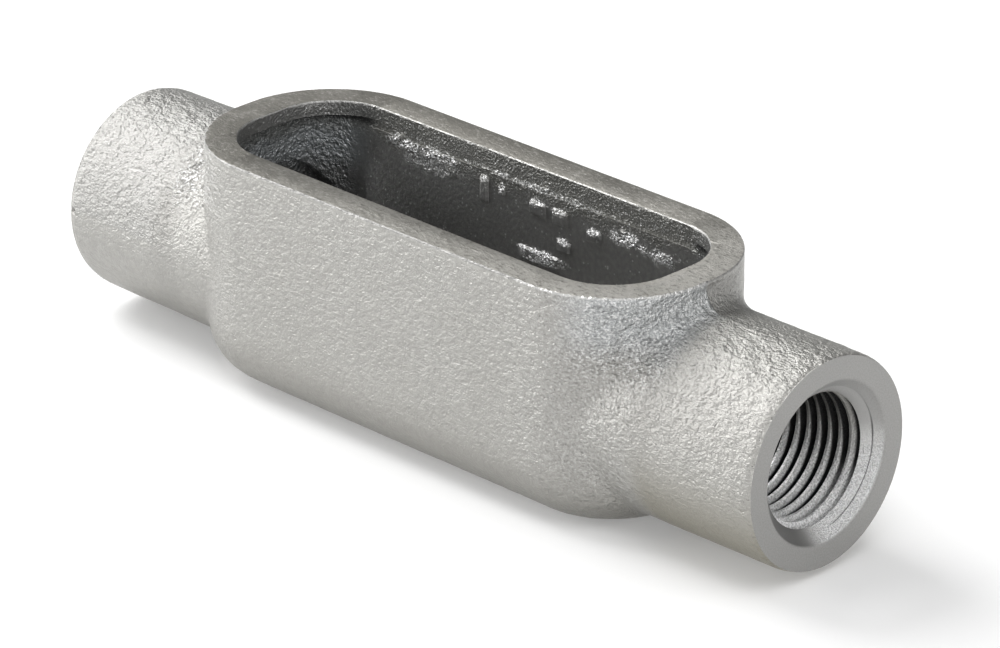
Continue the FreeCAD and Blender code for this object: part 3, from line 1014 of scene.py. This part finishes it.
def sort_faces(mesh):
    """Give each face its material, and shade the mesh smooth between its sharp edges."""
    mesh.materials.clear()
    for make in SURFACES:
        mesh.materials.append(make())
    centres = np.empty(len(mesh.polygons) * 3)
    normals = np.empty(len(mesh.polygons) * 3)
    mesh.polygons.foreach_get("center", centres)
    mesh.polygons.foreach_get("normal", normals)
    slots = surface_of(centres.reshape(-1, 3) / MM, normals.reshape(-1, 3))
    mesh.polygons.foreach_set("material_index", slots)
    mesh.shade_smooth()
    mesh.set_sharp_from_angle(angle=math.radians(SHARP_ANGLE))
    sharpen_rim(mesh, slots)


sort_faces(casting.data)


# Plain floor, soft light and the photograph's camera

FLOOR_REACH = 3000
FLOOR_GREY = (0.8, 0.8, 0.8, 1)
FLOOR_GLOW = 0.18
WORLD_GREY = (0.12, 0.12, 0.12, 1)

CAMERA_AZIMUTH = 44.70
CAMERA_ELEVATION = 24.34
CAMERA_DISTANCE = 727.81
CAMERA_TARGET = (17.37, -11.39, AXIS + 8.17)
CAMERA_LENS = 195.86

# Soft boxes: name, azimuth, elevation, distance, width and power
LIGHTS = (
    ("left", -90, 45, 1000, 700, 9.6),
    ("left_low", -90, 20, 1000, 500, 0.6),
    ("front_left", -57, 12, 1000, 600, 6.9),
    ("front", 0, 12, 1000, 600, 1.0),
    ("above", 0, 89, 1000, 800, 1.6),
    ("right_high", 60, 55, 1000, 500, 2.6),
    ("right_low", 60, 5, 1000, 500, 4.3),
    ("near_right", 120, 25, 350, 250, 0.24),
)


def add_floor():
    """A pale sheet that glows a little, as a lit studio table does."""
    corners = [(x * FLOOR_REACH, y * FLOOR_REACH, 0) for x, y in ((-1, -1), (1, -1), (1, 1), (-1, 1))]
    floor = make_mesh("floor", corners, [(0, 1, 2, 3)])
    material, _, shader = new_material("floor", 0.0, 0.9)
    shader.inputs["Base Color"].default_value = FLOOR_GREY
    shader.inputs["Emission Color"].default_value = WHITE
    shader.inputs["Emission Strength"].default_value = FLOOR_GLOW
    floor.data.materials.append(material)


def direction(azimuth, elevation):
    """From the object towards a place round it, azimuth 0 being the near side."""
    a = math.radians(azimuth)
    e = math.radians(elevation)
    return Vector((math.sin(a) * math.cos(e), -math.cos(a) * math.cos(e), math.sin(e)))


def look_from(thing, azimuth, elevation, distance, target):
    """Put a camera or light round a target, facing it."""
    back = direction(azimuth, elevation)
    thing.location = (Vector(target) + back * distance) * MM
    thing.rotation_euler = back.to_track_quat("Z", "Y").to_euler()


def add_camera():
    lens = bpy.data.cameras.new("camera")
    lens.lens = CAMERA_LENS
    lens.sensor_width = 36
    lens.clip_start = 0.01
    camera = linked("camera", lens)
    look_from(camera, CAMERA_AZIMUTH, CAMERA_ELEVATION, CAMERA_DISTANCE, CAMERA_TARGET)
    bpy.context.scene.camera = camera


def add_light(name, azimuth, elevation, distance, width, power):
    lamp = bpy.data.lights.new(name, "AREA")
    lamp.size = width * MM
    lamp.energy = power
    light = linked(name, lamp)
    light.visible_camera = False
    look_from(light, azimuth, elevation, distance, (0, 0, AXIS))


def add_world():
    world = bpy.data.worlds.new("studio")
    world.use_nodes = True
    world.node_tree.nodes["Background"].inputs["Color"].default_value = WORLD_GREY
    bpy.context.scene.world = world


add_floor()
add_camera()
for light in LIGHTS:
    add_light(*light)
add_world()
bpy.context.scene.view_settings.view_transform = "Standard"
